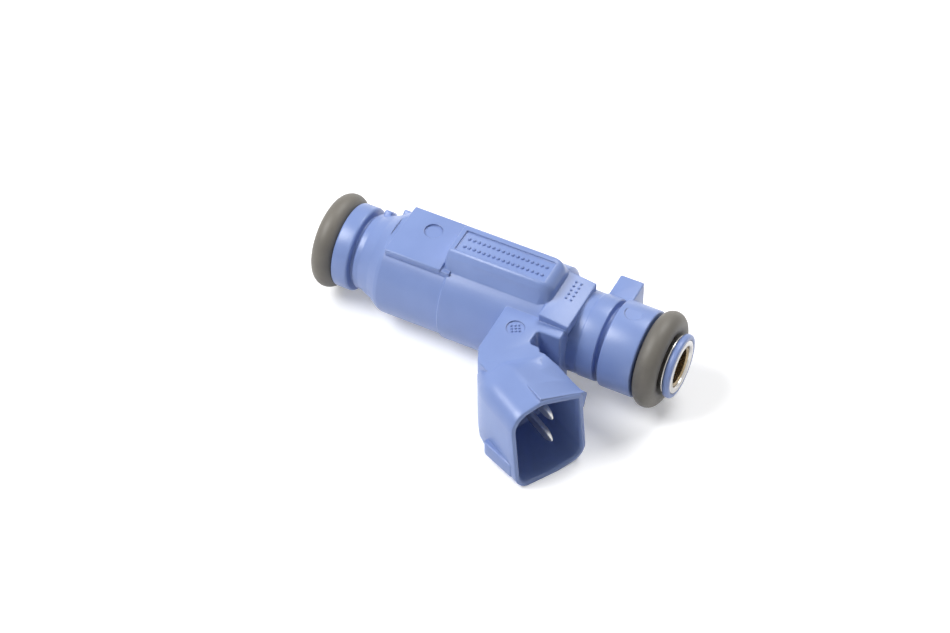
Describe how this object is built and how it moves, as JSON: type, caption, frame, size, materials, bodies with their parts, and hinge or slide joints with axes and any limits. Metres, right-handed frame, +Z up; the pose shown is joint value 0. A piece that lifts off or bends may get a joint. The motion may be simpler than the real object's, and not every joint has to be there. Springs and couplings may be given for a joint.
{
  "type": "fuel injector",
  "caption": "Port fuel injector with a side electrical socket, raised coil block, clip slot, locating lug and an O-ring at each end; a spring-closed needle valve lifts inside.",
  "frame": {"origin": "centre of the nozzle-end O-ring, on the injector's axis", "axes": "+X along the injector's axis from the nozzle to the fuel inlet, the electrical socket leans from -Y towards +X in the XY plane, +Z up through the raised block"},
  "size_m": [0.058, 0.0355, 0.0183],
  "materials": {
    "body_plastic": "satin moulded glass-filled nylon, slate blue",
    "seal_rubber": "dull grey-brown fluoro rubber",
    "tube_steel": "bright drawn stainless steel",
    "magnet_steel": "turned soft magnetic steel",
    "ball_steel": "polished bearing ball",
    "dark_plastic": "black bobbin nylon",
    "filter_plastic": "amber-brown filter nylon",
    "filter_brass": "pressed brass collar",
    "copper_wire": "enamelled copper winding",
    "tin_plate": "tin-plated terminal strip",
    "retainer_plastic": "dark moulded retainer"
  },
  "bodies": {
    "injector": {"overmould": "body_plastic", "nozzle_collar": "body_plastic", "tip_ring": "body_plastic", "lower_retainer": "retainer_plastic", "lower_o_ring": "seal_rubber", "upper_o_ring": "seal_rubber", "inlet_tube": "tube_steel", "nonmagnetic_sleeve": "tube_steel", "valve_body": "tube_steel", "orifice_disc": "tube_steel", "valve_seat": "tube_steel", "needle_guide": "tube_steel", "adjusting_sleeve": "tube_steel", "return_spring": "tube_steel", "pole_core": "magnet_steel", "yoke_housing": "magnet_steel", "yoke_washer": "magnet_steel", "coil_bobbin": "dark_plastic", "coil_winding": "copper_wire", "filter_frame": "filter_plastic", "filter_mesh": "filter_plastic", "filter_collar": "filter_brass", "terminal_upper": "tin_plate", "terminal_lower": "tin_plate"},
    "valve": {"armature": "magnet_steel", "needle_tube": "tube_steel", "valve_ball": "ball_steel"}
  },
  "joints": [
    {"name": "valve_lift", "type": "slide", "parent": "injector", "child": "valve", "axis": [1, 0, 0], "range_m": [0, 0.0001], "stiffness_N_per_m": 2000, "springref_m": -0.0015, "deforming": ["return_spring"]}
  ]
}
